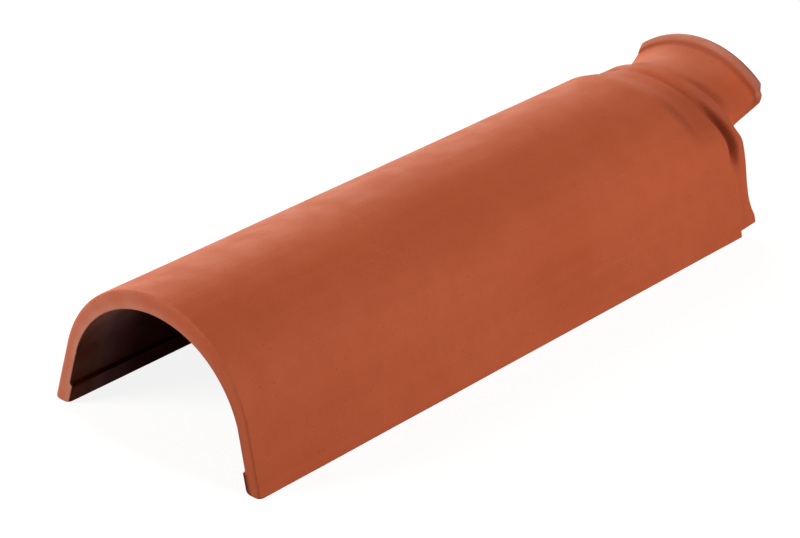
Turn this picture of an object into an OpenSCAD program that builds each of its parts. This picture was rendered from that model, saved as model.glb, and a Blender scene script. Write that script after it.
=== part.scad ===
// Curved eave tile: a half-round cover tile of fired clay, pressed in one piece.
// The tile lies on its two feet. Its open front end is at -Y, its necked head at +Y.
// All sizes are in millimetres.

/* [Arch] */
// Outside width across the two feet
tile_width = 152; // [130:1:175]
// Outside height at the crown
crown_height = 89.5; // [82:0.5:100]
// Outward lean of the straight side walls in degrees
leg_flare = 14.3; // [10:0.1:17]
// Thickness of the wall at the crown
crown_wall = 11.5; // [10:0.1:13]
// Thickness of the side walls
side_wall = 8; // [7:0.1:9.5]
// Rounding of both edges of the front end
front_round = 2; // [1:0.5:3]

/* [Length] */
// Front end to the waist at the far end of the side walls
body_length = 438; // [300:1:520]
// How far the head stands past the side walls
head_reach = 42; // [38:0.5:52]

/* [Feet] */
// Height of the thicker foot inside each side wall
foot_height = 12.5; // [8:0.5:20]
// How far the foot stands in from the side wall
foot_lip = 2; // [1:0.5:5]
// Gap between the front end and the start of the foot
foot_setback = 2; // [0.5:0.5:6]
// Length of the notch under the far end of each side wall, up to the waist
notch_length = 12.5; // [6:0.5:30]
// Height of that notch
notch_height = 4.8; // [2:0.2:7]

/* [Side wall end] */
// Height of the waist of that end
waist_height = 24; // [20:1:30]
// Radius of the end above the waist, where it leans back
lean_radius = 108; // [90:1:140]
// Radius of the end below the waist
corner_round = 28; // [24:1:40]
// How far the lower corner stands past the waist
corner_reach = 3.8; // [1:0.2:6]

/* [Shoulder] */
// Start of the shoulder at the crown, before the waist
shoulder_start = 43; // [38:1:55]
// Length of the small step at that start
step_run = 3; // [2:0.5:5]
// Drop of that step
step_drop = 0.8; // [0.4:0.1:1.2]
// Length of the slope behind the step
slope_run = 20; // [16:1:24]
// Slope of the shoulder in degrees
shoulder_slope = 13; // [9:0.5:15]
// Drop of the shoulder's axis below the crown's axis
shoulder_axis_drop = 8; // [7.5:0.5:10]

/* [Groove and bead] */
// Backward lean of the groove and the bead in degrees
ring_tilt = 23; // [18:0.5:26]
// Bottom of the groove at the crown, before the waist
groove_start = 12.5; // [10:0.5:15]
// Depth of the groove below the crown
groove_depth = 7; // [6.4:0.1:7.6]
// Radius of the hollow of the groove
groove_round = 5.2; // [4:0.2:7]
// Angle from the side at which the groove turns down the side wall
groove_turn = 40; // [36:1:46]
// Widening of the groove's hollow at that turn
turn_widening = 0.3; // [0.2:0.1:1]
// Height at which the groove fades out
tail_height = 40; // [36:1:46]
// Place where the groove fades out, before the waist
tail_start = 7.5; // [5:0.5:12]
// Top of the bead at the crown, before the waist
bead_start = 6; // [5:0.5:8]
// Drop of the bead below the crown
bead_drop = 4.1; // [3.4:0.1:4.8]
// Radius of the bead's round section
bead_round = 5; // [4:0.25:5.5]
// Angle from the side at which the bead ends inside the wall
bead_end = 28; // [24:1:32]
// Back of the bead at the crown, before the waist
back_start = 3; // [1:0.5:4]
// Backward lean of the bead's back in degrees
back_tilt = 27; // [22:0.5:32]

/* [Neck and collar] */
// Angle from the crown to each edge of the neck in degrees
neck_angle = 53.5; // [48:0.5:56]
// Length cut from each corner of the collar
corner_length = 17; // [8:0.5:20]
// Width cut from each corner of the collar
corner_width = 10.5; // [5:0.5:13]
// Rise of the neck's axis above the crown's axis
neck_rise = 2.6; // [1.5:0.1:4]
// Inset of the neck's throat from the outside of the crown
neck_inset = 9.6; // [9:0.1:11]
// Slope of the neck up to the bead in degrees
neck_slope = 4; // [2:0.5:6]
// Thickness of the neck's wall
neck_wall = 8; // [6.5:0.5:9]
// Reach of the neck's throat past the waist
throat_reach = 22; // [18:0.5:25]
// Height of the collar above the neck's throat
collar_rise = 10; // [8:0.2:12]
// Radius of the collar's rounded lip
lip_round = 2.5; // [2:0.1:3]

/* [Hidden] */
$fn = 96;
clay_color = [0.69, 0.33, 0.22];

overall_length = body_length + head_reach;
half_width = tile_width / 2;
cut_span = 3 * (tile_width + crown_height);
// The side walls run down from the crown on tangent lines that end at the feet.
crown_radius = (half_width - crown_height * tan(leg_flare)) / (1 / cos(leg_flare) - tan(leg_flare));
crown_axis = crown_height - crown_radius;
leg_top = crown_axis + crown_radius * sin(leg_flare);
leg_length = leg_top / cos(leg_flare);
leg_past = crown_wall + foot_lip;
crown_overlap = 10;
// The hollow has its own axis, so that the wall thins from the crown to the sides.
hollow_axis = crown_axis - (crown_wall - side_wall) / (1 - sin(leg_flare));
hollow_radius = crown_height - crown_wall - hollow_axis;
shoulder_at = body_length - shoulder_start;
groove_at = body_length - groove_start;
neck_axis = crown_axis + neck_rise;
neck_radius = crown_radius - neck_inset;
neck_inner = neck_radius - neck_wall;
throat_at = body_length + throat_reach;

// Radius at which a leaning ring keeps the same drop below the crown and the sides.
function ring_radius(drop) = (crown_radius - drop) * cos(ring_tilt);

// Turns a length section over the top, about an axis along the tile.
module over_crown(axis_height, side_angle = 0) {
    translate([0, 0, axis_height]) rotate([90, 0, 180]) rotate([0, 0, side_angle])
        rotate_extrude(angle = 180 - 2 * side_angle) children();
}

// Runs a length section up both straight side walls, from under the feet.
module up_sides(axis_height, run_length) {
    for (side = [0, 1]) mirror([side, 0, 0])
        translate([0, 0, axis_height]) rotate([0, -leg_flare, 0])
            translate([0, 0, -leg_length - leg_past])
                linear_extrude(run_length + leg_past) children();
}

// Runs a length section up both side walls and over the crown, where the halves overlap.
module along_arch(axis_height) {
    up_sides(axis_height, leg_length) children();
    for (side = [0, 1]) mirror([side, 0, 0])
        translate([0, 0, axis_height]) rotate([90, 0, 180]) rotate([0, 0, leg_flare])
            rotate_extrude(angle = 90 - leg_flare + crown_overlap) children();
}

// Runs a side outline, drawn along and up, through the whole width.
module across() {
    translate([-cut_span / 2, 0, 0]) rotate([90, 0, 90]) linear_extrude(cut_span) children();
}

// Length section of the outside, its front edge rounded.
module outer_section() {
    depth = 3 * crown_wall;
    translate([crown_radius - depth, front_round]) square([depth, overall_length - front_round]);
    translate([crown_radius - depth, 0]) square([depth - front_round, overall_length]);
    translate([crown_radius - front_round, front_round]) circle(front_round);
}

// Length section of the hollow, widened at the front to round the inner edge.
module hollow_section() {
    depth = 4 * crown_wall;
    translate([hollow_radius - depth, -1]) square([depth, overall_length + 2]);
    difference() {
        translate([hollow_radius - depth, -1]) square([depth + front_round, front_round + 1]);
        translate([hollow_radius + front_round, front_round]) circle(front_round);
    }
}

// Length section of the thicker foot on the inside of the side wall.
module foot_section() {
    translate([crown_radius - side_wall - foot_lip, foot_setback])
        square([foot_lip + side_wall / 2, overall_length - foot_setback]);
}

// Plain arched wall with its two feet, standing on the ground.
module arched_wall() {
    intersection() {
        union() {
            difference() {
                along_arch(crown_axis) outer_section();
                along_arch(hollow_axis) hollow_section();
            }
            up_sides(crown_axis, foot_height) foot_section();
        }
        translate([-cut_span / 2, -1, 0]) cube([cut_span, overall_length + 2, cut_span]);
    }
}

// Clay taken off the crown: a small step, then a slope, then a level stretch.
module shoulder_cut() {
    start_radius = crown_radius + shoulder_axis_drop;
    slope_end = step_run + slope_run;
    level_radius = start_radius - step_drop - slope_run * tan(shoulder_slope);
    intersection() {
        over_crown(crown_axis - shoulder_axis_drop) translate([0, shoulder_at]) polygon([
            [start_radius, 0], [start_radius - step_drop, step_run], [level_radius, slope_end],
            [level_radius, overall_length], [2 * crown_radius, overall_length], [2 * crown_radius, 0]
        ]);
        translate([-cut_span / 2, 0, leg_top]) cube([cut_span, 2 * overall_length, cut_span]);
    }
}

// Turns a round section over the crown on a leaning ring, given its crown point.
module leaning_ring(crown_at, drop, side_angle) {
    translate([0, crown_at, crown_height - drop]) rotate([ring_tilt, 0, 0])
        over_crown(-ring_radius(drop), side_angle) translate([ring_radius(drop), 0]) children();
}

// Hollow groove over the crown.
module groove_ring() {
    leaning_ring(groove_at, groove_depth, groove_turn)
        translate([groove_round, 0]) circle(groove_round);
}

// Straight tails in which the groove turns down both side walls and fades out.
module groove_tails() {
    path_radius = ring_radius(groove_depth) + groove_round;
    turn_drop = ring_radius(groove_depth) - path_radius * sin(groove_turn);
    turn_point = [
        path_radius * cos(groove_turn), groove_at + turn_drop * sin(ring_tilt),
        crown_height - groove_depth - turn_drop * cos(ring_tilt)
    ];
    tail_angle = asin((tail_height - crown_axis) / crown_radius);
    tail_point = [
        (crown_radius + groove_round) * cos(tail_angle), body_length - tail_start,
        crown_axis + (crown_radius + groove_round) * sin(tail_angle)
    ];
    tail = tail_point - turn_point;
    for (side = [0, 1]) mirror([side, 0, 0]) translate(turn_point) {
        sphere(groove_round + turn_widening);
        rotate([0, acos(tail[2] / norm(tail)), atan2(tail[1], tail[0])])
            cylinder(h = norm(tail), r = groove_round);
    }
}

// Round bead that stands behind the groove.
module bead() {
    leaning_ring(body_length - bead_start, bead_drop, bead_end)
        translate([-bead_round, 0]) circle(bead_round);
}

// Space past the side walls and the bead: notch, lower corner, waist and leaning end.
module end_cut() {
    far = 2 * (head_reach + lean_radius);
    across() {
        translate([body_length + corner_reach, -1]) square([far, waist_height]);
        translate([body_length - notch_length, -1]) square([far, notch_height + 1]);
        intersection() {
            translate([body_length + corner_round, waist_height]) circle(corner_round);
            translate([body_length - notch_length, -1]) square([far, waist_height + 1]);
        }
        intersection() {
            translate([body_length + lean_radius, waist_height]) circle(lean_radius);
            translate([body_length - notch_length, waist_height]) square([far, far]);
        }
        translate([body_length - back_start, crown_height - bead_drop]) rotate(back_tilt)
            translate([0, -far / 2]) square(far);
    }
}

// Length section of the neck, its flared collar and the rounded lip.
module neck_section() {
    lip_at = overall_length - lip_round;
    lip_radius = neck_radius + collar_rise - lip_round;
    flare_run = lip_at - throat_at;
    flare_rise = lip_radius - neck_radius;
    // The hollow flare touches both the throat and the lip.
    flare_round = (pow(flare_run, 2) + pow(flare_rise, 2) - pow(lip_round, 2)) / (2 * collar_rise);
    slope_at = body_length - back_start;
    slope_top = neck_radius + (throat_at - slope_at) * tan(neck_slope);
    polygon([
        [neck_radius, shoulder_at], [neck_radius, slope_at], [slope_top, slope_at],
        [neck_radius, throat_at], [neck_inner, throat_at], [neck_inner, shoulder_at + 3 * neck_wall]
    ]);
    difference() {
        polygon([
            [neck_radius, throat_at], [lip_radius, throat_at], [lip_radius, overall_length],
            [lip_radius + lip_round - neck_wall, overall_length], [neck_inner, throat_at]
        ]);
        translate([neck_radius + flare_round, throat_at]) circle(flare_round);
    }
    translate([lip_radius, lip_at]) circle(lip_round);
}

// Neck and collar on a tongue with square edges, its two end corners cut off.
module neck() {
    corner_run = corner_length * (1 + neck_wall / corner_width);
    difference() {
        over_crown(neck_axis, 90 - neck_angle) neck_section();
        for (side = [0, 1]) mirror([side, 0, 0])
            translate([0, overall_length, neck_axis]) rotate([0, neck_angle, 0])
                linear_extrude(cut_span) polygon([
                    [neck_wall, -corner_run], [-corner_width, 0], [-corner_width, 1], [neck_wall, 1]
                ]);
    }
}

// Arched wall with its shoulder and groove cut into it.
module grooved_wall() {
    difference() {
        difference() {
            arched_wall();
            shoulder_cut();
            groove_ring();
        }
        groove_tails();
    }
}

// The whole tile, its length centred on the origin.
module eave_tile() {
    color(clay_color) translate([0, -overall_length / 2, 0]) union() {
        difference() {
            union() {
                grooved_wall();
                bead();
            }
            end_cut();
        }
        neck();
    }
}

eave_tile();
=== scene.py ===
import math

import bmesh
import bpy
from mathutils import Matrix, Vector


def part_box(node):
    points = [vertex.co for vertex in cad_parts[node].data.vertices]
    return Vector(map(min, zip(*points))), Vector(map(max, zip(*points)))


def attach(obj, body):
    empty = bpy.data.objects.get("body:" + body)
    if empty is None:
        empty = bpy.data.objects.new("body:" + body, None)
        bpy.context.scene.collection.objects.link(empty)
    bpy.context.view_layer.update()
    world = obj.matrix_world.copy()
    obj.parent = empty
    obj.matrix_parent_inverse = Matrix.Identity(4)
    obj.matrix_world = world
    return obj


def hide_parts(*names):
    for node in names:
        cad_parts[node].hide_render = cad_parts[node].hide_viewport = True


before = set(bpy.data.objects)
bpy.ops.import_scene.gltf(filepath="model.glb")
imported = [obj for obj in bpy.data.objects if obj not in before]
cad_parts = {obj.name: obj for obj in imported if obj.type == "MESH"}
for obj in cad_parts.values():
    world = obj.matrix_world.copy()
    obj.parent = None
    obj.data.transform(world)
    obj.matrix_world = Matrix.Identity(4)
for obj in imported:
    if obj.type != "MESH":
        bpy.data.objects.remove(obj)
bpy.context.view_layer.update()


# The viewpoint: the tile is seen from its open front end, from the right and from above, through a
# long lens, with the horizon turned by a little over two degrees. Lengths are in metres.
view_side = math.radians(40.0796)
view_height = math.radians(27.3261)
view_roll = math.radians(2.3268)
view_distance = 1.7056
view_aim = Vector((0.0139, -0.06155, 0.046))
flat_right = Vector((math.cos(view_side), math.sin(view_side), 0))
view_forward = Vector((
    -math.sin(view_side) * math.cos(view_height),
    math.cos(view_side) * math.cos(view_height),
    -math.sin(view_height),
))
flat_up = flat_right.cross(view_forward)
view_right = flat_right * math.cos(view_roll) + flat_up * math.sin(view_roll)
view_up = flat_up * math.cos(view_roll) - flat_right * math.sin(view_roll)

camera = bpy.data.objects.new("viewpoint", bpy.data.cameras.new("viewpoint"))
camera.data.lens = 137.325
camera.data.sensor_width = 36
camera.data.clip_start = 0.05
camera.matrix_world = Matrix.Translation(view_aim - view_forward * view_distance) @ Matrix(
    (view_right, view_up, -view_forward)
).transposed().to_4x4()
bpy.context.collection.objects.link(camera)
bpy.context.scene.camera = camera
bpy.context.scene.view_settings.view_transform = "Standard"


# The tile: one piece of red clay, pressed in a mould, dried and fired. Its half-round barrel stands on
# two straight side walls, and its far end steps down over a shoulder, a groove and a round bead to a
# neck with a flared collar, which the front end of the next tile laps over.
class Wire:
    """A socket of a node tree. Arithmetic on it adds Math nodes to the tree."""

    def __init__(self, socket):
        self.socket = socket

    def make(self, kind, settings=None, sockets=None, output=0):
        """Adds a node of that kind and returns one of its outputs."""
        tree = self.socket.id_data
        node = tree.nodes.new(kind)
        for name, value in (settings or {}).items():
            setattr(node, name, value)
        for key, value in (sockets or {}).items():
            if isinstance(value, Wire):
                tree.links.new(value.socket, node.inputs[key])
            else:
                node.inputs[key].default_value = value
        return Wire(node.outputs[output])

    def math(self, operation, first, second=0.0):
        return self.make("ShaderNodeMath", {"operation": operation}, {0: first, 1: second})

    def __add__(self, other):
        return self.math("ADD", self, other)

    def __radd__(self, other):
        return self.math("ADD", other, self)

    def __sub__(self, other):
        return self.math("SUBTRACT", self, other)

    def __rsub__(self, other):
        return self.math("SUBTRACT", other, self)

    def __mul__(self, other):
        return self.math("MULTIPLY", self, other)

    def __rmul__(self, other):
        return self.math("MULTIPLY", other, self)

    def __truediv__(self, other):
        return self.math("DIVIDE", self, other)

    def __rtruediv__(self, other):
        return self.math("DIVIDE", other, self)

    def __pow__(self, other):
        return self.math("POWER", self, other)

    def __neg__(self):
        return self.math("SUBTRACT", 0.0, self)

    def __abs__(self):
        return self.math("ABSOLUTE", self)

    def sin(self):
        return self.math("SINE", self)

    def cos(self):
        return self.math("COSINE", self)

    def tan(self):
        return self.math("TANGENT", self)

    def exp(self):
        return self.math("EXPONENT", self)

    def sign(self):
        return self.math("SIGN", self)

    def above(self, limit):
        return self.math("GREATER_THAN", self, limit)

    def below(self, limit):
        return self.math("LESS_THAN", self, limit)

    def least(self, other):
        return self.math("MINIMUM", self, other)

    def most(self, other):
        return self.math("MAXIMUM", self, other)

    def soft_most(self, other, reach):
        """As most, with the corner between the two rounded over a reach."""
        return self.make("ShaderNodeMath", {"operation": "SMOOTH_MAX"}, {0: self, 1: other, 2: reach})

    def part(self, low, high):
        """How far this value is on its way from low to high, from 0 to 1."""
        return self.make(
            "ShaderNodeMapRange", {"interpolation_type": "LINEAR"}, {0: self, 1: low, 2: high}
        )

    def ease(self, low, high):
        """As part, with a soft start and a soft end."""
        return self.make(
            "ShaderNodeMapRange", {"interpolation_type": "SMOOTHSTEP"}, {0: self, 1: low, 2: high}
        )

    def band(self, start, full, fade, gone):
        """Rises softly from 0 to 1 between start and full, and falls softly between fade and gone."""
        return self.ease(start, full) * (1 - self.ease(fade, gone))

    def between(self, low, high):
        """The colour that lies this far between two colours."""
        return self.make("ShaderNodeMix", {"data_type": "RGBA"}, {0: self, 6: low, 7: high}, 2)


# Sizes of the tile in millimetres and degrees. The box of the frame gives its width and length.
tile_low, tile_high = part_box("eave_tile")
tile_sizes = {
    "Tile Width": (tile_high[0] - tile_low[0]) * 1000,
    "Overall Length": (tile_high[1] - tile_low[1]) * 1000,
    "Body Length": 438.0,
    "Crown Height": 89.5,
    "Leg Flare": 14.3,
    "Side Spread": 0.6,
    "Crown Wall": 11.5,
    "Side Wall": 8.0,
    "Neck Wall": 8.0,
    "Thinnest Wall": 4.0,
    "Front Round": 2.4,
    "End Round": 1.2,
    "Lip Round": 2.4,
    "Foot Round": 0.6,
    "Foot Wear": 1.6,
    "Foot Height": 12.5,
    "Foot Lip": 2.0,
    "Foot Slope": 1.4,
    "Notch Height": 4.8,
    "Notch Length": 11.0,
    "Waist Height": 24.0,
    "Lean Radius": 108.0,
    "Corner Round": 28.0,
    "Corner Reach": 3.8,
    "Shoulder Start": 43.0,
    "Ring Tilt": 14.0,
    "Step Drop": 0.8,
    "Slope Drop": 3.4,
    "Groove Start": 12.5,
    "Groove Depth": 6.6,
    "Groove Lean": 8.8,
    "Groove Return": 4.5,
    "Groove Front": 4.1,
    "Groove Back": 2.5,
    "Bead Width": 6.0,
    "Neck Blend": 9.0,
    "Neck Inset": 9.6,
    "Neck Rise": 2.6,
    "Neck Slope": 4.0,
    "Neck Spread": 4.0,
    "Throat Reach": 22.0,
    "Collar Rise": 8.0,
    "Collar Half": 44.6,
    "Collar Tip": 1.2,
    "Lip Rise": 2.0,
    "Lip Width": 3.4,
    "Corner Angle": 46.9,
    "Corner Span": 4.6,
    "Corner Drop": 25.5,
    "Corner Blend": 5.0,
    "Trim Blend": 1.0,
    "Clay Wave": 0.3,
}
tile_counts = {"Columns": 281, "Rows": 321}

pressing = bpy.data.node_groups.new("pressed_tile", "GeometryNodeTree")
for name in tile_sizes:
    pressing.interface.new_socket(name=name, in_out="INPUT", socket_type="NodeSocketFloat")
for name in tile_counts:
    pressing.interface.new_socket(name=name, in_out="INPUT", socket_type="NodeSocketInt")
pressing.interface.new_socket(name="Tile", in_out="OUTPUT", socket_type="NodeSocketGeometry")
entry = pressing.nodes.new("NodeGroupInput")
size = {name: Wire(entry.outputs[name]) for name in (*tile_sizes, *tile_counts)}
sheet = size["Columns"].make("GeometryNodeMeshGrid", {}, {
    "Size X": 1.0,
    "Size Y": 1.0,
    "Vertices X": size["Columns"],
    "Vertices Y": size["Rows"],
})
place = sheet.make("GeometryNodeInputPosition")
across = place.make("ShaderNodeSeparateXYZ", {}, {0: place}, "X") * 2
around = place.make("ShaderNodeSeparateXYZ", {}, {0: place}, "Y") + 0.5

# The arch: a half round of the crown radius on two straight legs that flare outwards.
degree = math.pi / 180
flare = size["Leg Flare"] * degree
crown_height = size["Crown Height"]
crown_radius = (size["Tile Width"] / 2 - crown_height * flare.tan()) / (1 / flare.cos() - flare.tan())
crown_axis = crown_height - crown_radius
leg_length = (crown_axis + crown_radius * flare.sin()) / flare.cos()
arch_turn = math.pi / 2 - flare
half_arch = crown_radius * arch_turn + leg_length

# Rows run along the outside, round the far end, back along the inside and round the front end. The
# outer edges of both ends are rounder than the inner ones.
face_share = 0.4375
bulge_power = 0.36
inner_power, outer_power = 0.22, 0.42
along = around.part(0.0, face_share) - around.part(0.5, 0.5 + face_share)
end_turn = around.part(face_share, 0.5) * math.pi
front_turn = around.part(0.5 + face_share, 1.0) * math.pi
wall_turn = end_turn.cos() * front_turn.cos()
edge_power = inner_power + (outer_power - inner_power) * wall_turn.above(0.0)
wall_side = wall_turn.sign() * abs(wall_turn) ** edge_power
end_bulge = end_turn.sin().most(0.0) ** bulge_power
front_bulge = front_turn.sin().most(0.0) ** bulge_power

# Columns run from the crown down to each foot, round the foot's edge and in under it.
side_share, edge_share = 0.955, 0.03
side = across.sign()
column = abs(across)
foot_turn = column.part(side_share, side_share + edge_share) * (math.pi / 2)
foot_close = column.part(side_share + edge_share, 1.0)
foot_round = size["Foot Round"] + size["Foot Wear"] * front_bulge
reach = (half_arch - foot_round) * column.part(0.0, side_share) + foot_round * foot_turn.sin()
foot_inset = foot_round * (1 - foot_turn.cos())
turn = (reach / crown_radius).least(arch_turn)
leg_run = reach - turn * crown_radius
angle = turn / degree
fall = 1 - turn.cos()
height = crown_axis + crown_radius * turn.cos() - leg_run * turn.sin()

# The far end: the collar's end and its cut corners at the top, the leaning end of each side wall with
# its waist and its flared lower corner, and the notch under it.
body_end = size["Body Length"]
above_waist = (height - size["Waist Height"]).most(0.0)
below_waist = (size["Waist Height"] - height).most(0.0)
wall_end = body_end + above_waist * above_waist / (2 * size["Lean Radius"]) + (
    below_waist * below_waist / (2 * size["Corner Round"])
).least(size["Corner Reach"])
corner_fall = size["Corner Drop"] * ((angle - size["Corner Angle"]) / size["Corner Span"]).most(0.0)
upper_end = (size["Overall Length"] - corner_fall).soft_most(wall_end, size["Corner Blend"])
notched = height.below(size["Notch Height"])
far_end = upper_end - notched * (upper_end - body_end + size["Notch Length"])

# The groove runs round the head in front of the bead. It leans back towards the sides, and comes
# forward again near its ends. Each pair of numbers here is a span of angles from the crown.
lean_span, return_span = (8.0, 52.0), (55.0, 74.0)
groove_line = (
    body_end
    - size["Groove Start"]
    + size["Groove Lean"] * angle.ease(*lean_span)
    - size["Groove Return"] * angle.ease(*return_span)
)
bead_line = groove_line + size["Bead Width"]

# Stations along the length: a few rows on the plain barrel, many in the head up to the bead, and the
# rest from there to the end.
barrel_rows, head_rows, neck_rows = 0.12, 0.6, 0.8
barrel_way, neck_way = 0.88, 0.75
to_bead = (
    barrel_way * along.part(0.0, barrel_rows) + (1 - barrel_way) * along.part(barrel_rows, head_rows)
)
to_end = neck_way * along.part(head_rows, neck_rows) + (1 - neck_way) * along.part(neck_rows, 1.0)
on_collar = 1 - angle.ease(43.0, 46.0)
front_round = size["Front Round"]
end_round = size["End Round"] + (size["Lip Round"] - size["End Round"]) * on_collar
last_row = far_end - end_round
bead_row = bead_line.least(last_row - end_round)
row_station = front_round + (bead_row - front_round) * to_bead + (last_row - bead_row) * to_end
station = row_station + end_round * end_bulge - front_round * front_bulge

# The shoulder and the groove, as a depth below the barrel's surface. Both fade out down the sides.
crease = body_end - size["Shoulder Start"] + crown_radius * fall * (size["Ring Tilt"] * degree).tan()
past_crease = station - crease
step_run, slope_run = (0.0, 4.0), (3.0, 19.0)
shoulder_fade = 1 - angle.ease(38.0, 64.0)
shoulder = shoulder_fade * (
    size["Step Drop"] * past_crease.ease(*step_run) + size["Slope Drop"] * past_crease.ease(*slope_run)
)
past_groove = station - groove_line
groove_width = size["Groove Back"] + (size["Groove Front"] - size["Groove Back"]) * past_groove.below(0.0)
groove_share = past_groove / groove_width
groove_shape = (-(groove_share * groove_share)).exp()
groove_at_crown, groove_at_side = 0.28, 0.96
groove_growth = groove_at_crown + (groove_at_side - groove_at_crown) * angle.ease(22.0, 50.0)
groove_fade = 1 - angle.ease(61.0, 78.0)
groove = groove_growth * groove_fade * groove_shape

# The neck narrows behind the bead, and flares out to the collar and its rounded lip.
throat = size["Overall Length"] - size["Throat Reach"]
lip_line = size["Overall Length"] - size["Lip Width"]
collar_share = station.part(throat, lip_line)
before_lip = ((lip_line - station) / size["Lip Width"]).most(0.0).least(1.0)
neck_depth = (
    size["Neck Inset"]
    - size["Neck Rise"] * turn.cos()
    - (throat - station).most(0.0) * (size["Neck Slope"] * degree).tan()
    - size["Collar Rise"] * collar_share * collar_share
    - size["Lip Rise"] * (1 - before_lip * before_lip) ** 0.5
)
past_bead = station - bead_line
past_lip = station - lip_line
on_neck = 1 - angle.ease(53.0, 61.0)
to_neck = on_neck * past_bead.ease(0.0, size["Neck Blend"])
head_depth = (shoulder + size["Groove Depth"] * groove) * (1 - to_neck) + neck_depth * to_neck

# The neck's sides are trimmed upright at half the collar's width, with a small tip left at its corners.
least_sine = 0.35
trim_run = (1.0, 18.0)
collar_tip = size["Collar Tip"] * past_lip.ease(-4.0, -1.0) * angle.band(41.6, 44.0, 44.6, 47.2)
neck_half = size["Collar Half"] + collar_tip + size["Neck Spread"] * angle.ease(51.0, 58.0)
past_half = crown_radius - neck_half / turn.sin().most(least_sine) - head_depth
trim = past_half.soft_most(0.0, size["Trim Blend"])
outside = head_depth + trim * on_neck * past_bead.ease(*trim_run)

# The inside: the wall thins from the crown to the sides, the feet are thicker, and the neck narrows.
wall_thinning = (size["Crown Wall"] - size["Side Wall"]) / (1 - flare.sin())
half_slope = size["Foot Slope"] / 2
foot_lip = size["Foot Lip"] * (
    1 - height.ease(size["Foot Height"] - half_slope, size["Foot Height"] + half_slope)
)
inside_barrel = size["Crown Wall"] - wall_thinning * fall + foot_lip
inside_neck = on_neck * station.ease(crease + 12, body_end + 4)
inside_depth = inside_barrel * (1 - inside_neck) + (neck_depth + size["Neck Wall"]) * inside_neck
inside = inside_depth.most(outside + size["Thinnest Wall"])

# Drying leaves the wall very slightly uneven.
wave_scale = 0.014
wave_seed = 17.0
wave_at = reach.make("ShaderNodeCombineXYZ", {}, {0: side * reach, 1: station, 2: wave_seed})
wave = wave_at.make(
    "ShaderNodeTexNoise", {}, {"Vector": wave_at, "Scale": wave_scale, "Detail": 1.5}
) - 0.5
middle = (inside + outside) / 2 + 2 * size["Clay Wave"] * wave

# Every point's place, from its depth under the barrel's surface and its station.
half_wall = ((inside - outside) / 2 - foot_inset).most(0.0) * (1 - foot_close)
depth = middle - wall_side * half_wall
ray = crown_radius - depth
level_run = leg_run * (1 - depth * flare.tan() / leg_length)
side_spread = size["Side Spread"] * turn.sin()
millimetre = 0.001
spot = ray.make("ShaderNodeCombineXYZ", {}, {
    0: side * (ray * turn.sin() + level_run * turn.cos() + side_spread) * millimetre,
    1: (station - size["Overall Length"] / 2) * millimetre,
    2: (crown_axis + ray * turn.cos() - level_run * turn.sin()) * millimetre,
})

# Painted shade: the hollows of the head, the lip and the inner edge and foot of the near leg's front end
# are painted darker, where shade falls. The inside is painted dark all over as shade, more so further in
# from the front end, and darker still where the mark passes 1.
far_leg = (-across).part(-0.3, 0.5)
near_leg = across.part(0.15, 0.6)
outer_face = wall_side.ease(-0.6, 0.2)
inner_margin = (-wall_side).part(0.4, 1.0) * front_bulge
low_margin = (-wall_side).part(0.1, 0.5) * front_bulge * (
    1 - height.ease(size["Foot Height"] - 1, size["Foot Height"] + 0.5)
)
on_lip = on_collar * past_lip.ease(-3.0, -1.5)
groove_painted_shade = (0.17 + 0.4 * angle.ease(28.0, 56.0)) * groove_fade * groove_shape
step_painted_shade = 0.16 * shoulder_fade * angle.ease(16.0, 30.0) * past_crease.band(-4.0, 2.0, 3.0, 12.0)
slope_painted_shade = 0.24 * shoulder_fade * angle.ease(10.0, 34.0) * past_crease.ease(-5.0, 9.0) * (1 - to_neck)
neck_painted_shade = 0.36 * angle.band(4.0, 26.0, 34.0, 46.0) * past_bead.band(3.0, 8.0, 10.0, 18.0)
throat_painted_shade = 0.25 * on_neck * past_lip.band(-5.4, -4.0, -3.2, -2.0)
lip_painted_shade = (0.12 + 0.2 * angle.ease(8.0, 30.0)) * on_lip + 0.4 * on_collar * end_bulge.ease(0.2, 0.8)
margin_painted_shade = near_leg * (0.45 * inner_margin + 0.8 * low_margin)
head_painted_shade = groove_painted_shade + step_painted_shade + slope_painted_shade + neck_painted_shade + throat_painted_shade + lip_painted_shade
# The inside's painted shade: darker further in from the front end.
inside_painted_shade = 0.1 + 0.7 * station.ease(3.0, 14.0) + 1.2 * station.ease(8.0, 60.0)
painted_shade = (head_painted_shade + margin_painted_shade) * outer_face.most(front_bulge) + (
    inside_painted_shade * (1 - outer_face) * (1 - front_bulge)
)

# Paler marks: the ends and the lip are worn paler, and the lip also carries a painted sheen. The far
# leg's front face and the inner edge of the front end carry a painted highlight, as do the shoulder's
# step, the bead and the top of the neck.
# Worn paler front end, with a painted highlight on the far leg and along the inner edge.
front_wear_and_highlight = (0.1 + 0.7 * far_leg + (0.3 + 0.7 * (1 - near_leg)) * inner_margin) * front_bulge
end_wear_and_sheen = (1 - on_collar) * end_bulge + on_lip
# Painted highlights on the shoulder's step, the bead and the top of the neck.
step_highlight = 0.4 * (1 - angle.ease(0.0, 28.0)) * past_crease.band(-6.0, 4.0, 5.0, 18.0)
bead_highlight = 0.25 * angle.band(10.0, 24.0, 40.0, 52.0) * past_bead.band(-4.0, 0.0, 1.0, 7.0)
neck_highlight = 0.25 * on_neck * past_bead.ease(8.0, 16.0) * (1 - angle.ease(14.0, 32.0))
wear_and_highlight = front_wear_and_highlight + end_wear_and_sheen + step_highlight + bead_highlight + neck_highlight


def linear(red, green, blue):
    """A colour as written on a screen, from 0 to 255, in the renderer's own linear values."""
    return (*(
        level / 255 / 12.92 if level <= 10 else ((level / 255 + 0.055) / 1.055) ** 2.4
        for level in (red, green, blue)
    ), 1.0)


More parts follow.
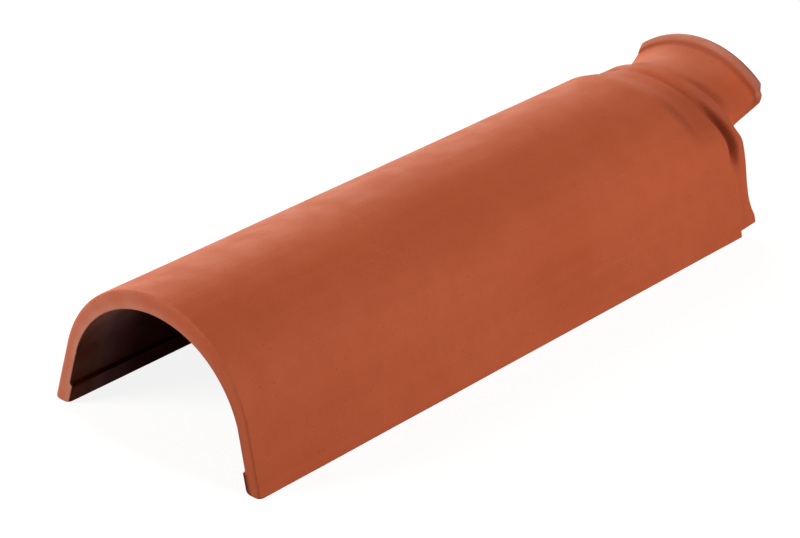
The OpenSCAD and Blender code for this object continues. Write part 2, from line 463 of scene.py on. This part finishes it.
# Fired red clay: warm, matte, clouded from the kiln, finely grained, with long faint marks from the
# mould and small pits. It is paler where it is worn or carries a painted highlight, and darker where
# shade is painted into it.
terracotta = bpy.data.materials.new("fired_terracotta")
terracotta.use_nodes = True
clay_nodes = terracotta.node_tree.nodes
clay_links = terracotta.node_tree.links
clay_place = Wire(clay_nodes.new("ShaderNodeTexCoord").outputs["Object"])


def clay_noise(scale, detail=2.0, stretch=(1.0, 1.0, 1.0)):
    """Noise over the tile, from 0 to 1, that is stretched along its axes."""
    at = clay_place.make("ShaderNodeMapping", {}, {"Vector": clay_place, "Scale": stretch})
    return at.make("ShaderNodeTexNoise", {}, {"Vector": at, "Scale": scale, "Detail": detail})


kiln_cloud = clay_noise(9.0, 3.0).ease(0.3, 0.7)
clay_blotch = clay_noise(70.0, 4.0).ease(0.3, 0.72)
clay_grain = clay_noise(900.0)
mould_marks = clay_noise(160.0, 3.0, (1.0, 0.03, 1.0)).ease(0.35, 0.75)
pit_field = clay_place.make(
    "ShaderNodeTexVoronoi", {"feature": "F1"}, {"Vector": clay_place, "Scale": 260.0}, "Distance"
)
pits = (1 - pit_field.ease(0.06, 0.16)) * clay_noise(45.0).ease(0.48, 0.6)
clay_wear_and_highlight = clay_place.make("ShaderNodeAttribute", {"attribute_name": "wear_and_highlight"}, {}, "Fac")
clay_painted_shade = clay_place.make("ShaderNodeAttribute", {"attribute_name": "painted_shade"}, {}, "Fac")
clay_deep_painted_shade = (clay_painted_shade - 1).most(0.0).least(1.0)
pale_grain = clay_grain.ease(0.55, 0.8)
dark_grain = 1 - clay_grain.ease(0.2, 0.45)

clay = kiln_cloud.between(linear(169, 79, 48), linear(176, 86, 55))
clay = (0.3 * clay_blotch).between(clay, linear(164, 77, 49))
clay = (0.2 * mould_marks).between(clay, linear(186, 92, 58))
# Worn paler, with painted highlight and sheen where this mark stands for light.
clay = (clay_wear_and_highlight * (0.5 + 0.3 * clay_blotch)).between(clay, linear(196, 130, 111))
clay = (0.16 * pale_grain).between(clay, linear(200, 112, 76))
clay = (0.16 * dark_grain).between(clay, linear(132, 54, 32))
clay = (0.45 * pits).between(clay, linear(112, 46, 28))
# Painted shade, and deeper painted shade inside.
clay = clay_painted_shade.least(1.0).between(clay, linear(88, 31, 19))
clay = clay_deep_painted_shade.between(clay, linear(76, 24, 24))
clay_rough = 0.56 + 0.1 * clay_blotch + 0.08 * clay_grain
clay_relief = 0.5 * clay_grain + 0.5 * clay_blotch + 0.4 * mould_marks - 1.2 * pits
clay_bump = clay_relief.make(
    "ShaderNodeBump", {}, {"Strength": 0.35, "Distance": 0.0004, "Height": clay_relief}, "Normal"
)

# Bare clay has a very faint sheen. Where the painted shade inside is deepest, a copy of the clay with
# nearly no sheen is mixed in, as more painted shade.
bare_shader = clay_nodes["Principled BSDF"]
deep_shade_shader = clay_nodes.new("ShaderNodeBsdfPrincipled")
for shader, sheen in ((bare_shader, 0.085), (deep_shade_shader, 0.006)):
    shader.inputs["Specular IOR Level"].default_value = sheen
    for socket_name, wire in (("Base Color", clay), ("Roughness", clay_rough), ("Normal", clay_bump)):
        clay_links.new(wire.socket, shader.inputs[socket_name])
clay_look = clay_deep_painted_shade.make("ShaderNodeMixShader", {}, {
    0: clay_deep_painted_shade,
    1: Wire(bare_shader.outputs["BSDF"]),
    2: Wire(deep_shade_shader.outputs["BSDF"]),
})
clay_links.new(clay_look.socket, clay_nodes["Material Output"].inputs["Surface"])

# The tree's end: the worn and painted-highlight places and the painted shade are stored as marks, and the
# sheet of points takes the tile's shape and is closed along its seam and under its feet.
weld_reach = 0.000004
marked = sheet
for mark, amount in (("wear_and_highlight", wear_and_highlight), ("painted_shade", painted_shade)):
    marked = marked.make(
        "GeometryNodeStoreNamedAttribute",
        {"data_type": "FLOAT", "domain": "POINT"},
        {"Geometry": marked, "Name": mark, "Value": amount},
    )
shaped = marked.make("GeometryNodeSetPosition", {}, {"Geometry": marked, "Position": spot})
closed = shaped.make("GeometryNodeMergeByDistance", {}, {"Geometry": shaped, "Distance": weld_reach})
smooth = closed.make("GeometryNodeSetShadeSmooth", {}, {"Geometry": closed})
whole = smooth.make("GeometryNodeRealizeInstances", {}, {"Geometry": smooth})
finished = whole.make("GeometryNodeSetMaterial", {}, {"Geometry": whole, "Material": terracotta})
pressing.links.new(finished.socket, pressing.nodes.new("NodeGroupOutput").inputs["Tile"])

tile = bpy.data.objects.new("clay_tile", bpy.data.meshes.new("pressed_sheet"))
bpy.context.collection.objects.link(tile)
press = tile.modifiers.new("pressing", "NODES")
press.node_group = pressing
press_values = {**tile_sizes, **tile_counts}
for item in pressing.interface.items_tree:
    if item.in_out == "INPUT":
        press[item.identifier] = press_values[item.name]
tile_mesh = bpy.data.meshes.new_from_object(tile.evaluated_get(bpy.context.evaluated_depsgraph_get()))
tile.modifiers.remove(press)
tile.data = tile_mesh
shell = bmesh.new()
shell.from_mesh(tile_mesh)
bmesh.ops.recalc_face_normals(shell, faces=shell.faces)
shell.to_mesh(tile_mesh)
shell.free()
tile_mesh.set_sharp_from_angle(angle=math.radians(50))
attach(tile, "root")
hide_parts("eave_tile")


# The floor: a plain pale studio floor that the tile lies on. It is white to the camera and in
# reflections, keeps the tile's soft shadow, and throws little light back up.
floor_reach = 1.6
floor_gap = 0.0003
floor_mesh = bpy.data.meshes.new("studio_floor")
floor_mesh.from_pydata(
    [(x * floor_reach, y * floor_reach, -floor_gap) for x, y in ((-1, -1), (1, -1), (1, 1), (-1, 1))],
    [],
    [(0, 1, 2, 3)],
)
floor = bpy.data.objects.new("studio_floor", floor_mesh)
bpy.context.collection.objects.link(floor)


def in_view(path):
    """Rays that come straight from the camera, or by way of a reflection or a clear surface."""
    return Wire(path.outputs["Is Camera Ray"]).most(
        Wire(path.outputs["Is Glossy Ray"])
    ).most(Wire(path.outputs["Is Transmission Ray"]))


def grey(level):
    return (level, level, level, 1.0)


floor_finish = bpy.data.materials.new("pale_floor")
floor_finish.use_nodes = True
floor_nodes = floor_finish.node_tree.nodes
floor_nodes.clear()
floor_out = floor_nodes.new("ShaderNodeOutputMaterial")
floor_seen = in_view(floor_nodes.new("ShaderNodeLightPath"))
floor_glow = floor_seen.make("ShaderNodeEmission", {}, {"Color": grey(1.0), "Strength": 0.88})
shaded_floor = floor_seen.make("ShaderNodeBsdfDiffuse", {}, {"Color": grey(0.2)})
bright_floor = floor_seen.make("ShaderNodeAddShader", {}, {0: shaded_floor, 1: floor_glow})
dim_floor = floor_seen.make("ShaderNodeBsdfDiffuse", {}, {"Color": grey(0.03)})
floor_look = floor_seen.make("ShaderNodeMixShader", {}, {0: floor_seen, 1: dim_floor, 2: bright_floor})
floor_finish.node_tree.links.new(floor_look.socket, floor_out.inputs["Surface"])
floor_mesh.materials.append(floor_finish)


# The light: a wide soft lamp low beyond the far side, which gives the crown its pale sheen, a tall soft
# lamp on the near side, and a small one in front. The surroundings are white to the camera and in
# reflections, and give almost no light themselves.
def soft_lamp(name, at, aim, wide, tall, watts, tint):
    lamp = bpy.data.lights.new(name, "AREA")
    lamp.shape = "RECTANGLE"
    lamp.size = wide
    lamp.size_y = tall
    lamp.energy = watts
    lamp.color = tint
    holder = bpy.data.objects.new(name, lamp)
    holder.location = at
    holder.rotation_euler = (Vector(aim) - Vector(at)).to_track_quat("-Z", "Y").to_euler()
    holder.visible_camera = False
    bpy.context.collection.objects.link(holder)


tile_middle, tile_front = (0.0, 0.0, 0.05), (0.0, -0.24, 0.05)
soft_lamp(
    "crown_lamp", (-1.51, 0.66, 0.62), tile_middle, wide=1.6, tall=0.7, watts=34.5, tint=(1.0, 0.96, 0.8)
)
soft_lamp(
    "side_lamp", (1.75, 0.38, 0.92), tile_middle, wide=0.9, tall=1.5, watts=42.0, tint=(1.0, 0.95, 0.9)
)
soft_lamp(
    "front_lamp", (-0.9, -1.5, 0.7), tile_front, wide=0.8, tall=0.8, watts=35.5, tint=(1.0, 0.95, 0.88)
)

air_light = 0.01
surroundings = bpy.data.worlds.new("surroundings")
bpy.context.scene.world = surroundings
surroundings.use_nodes = True
air = surroundings.node_tree.nodes["Background"]
air_seen = in_view(surroundings.node_tree.nodes.new("ShaderNodeLightPath"))
air_level = air_light + (1 - air_light) * air_seen
surroundings.node_tree.links.new(air_level.socket, air.inputs["Strength"])
air.inputs["Color"].default_value = grey(1.0)
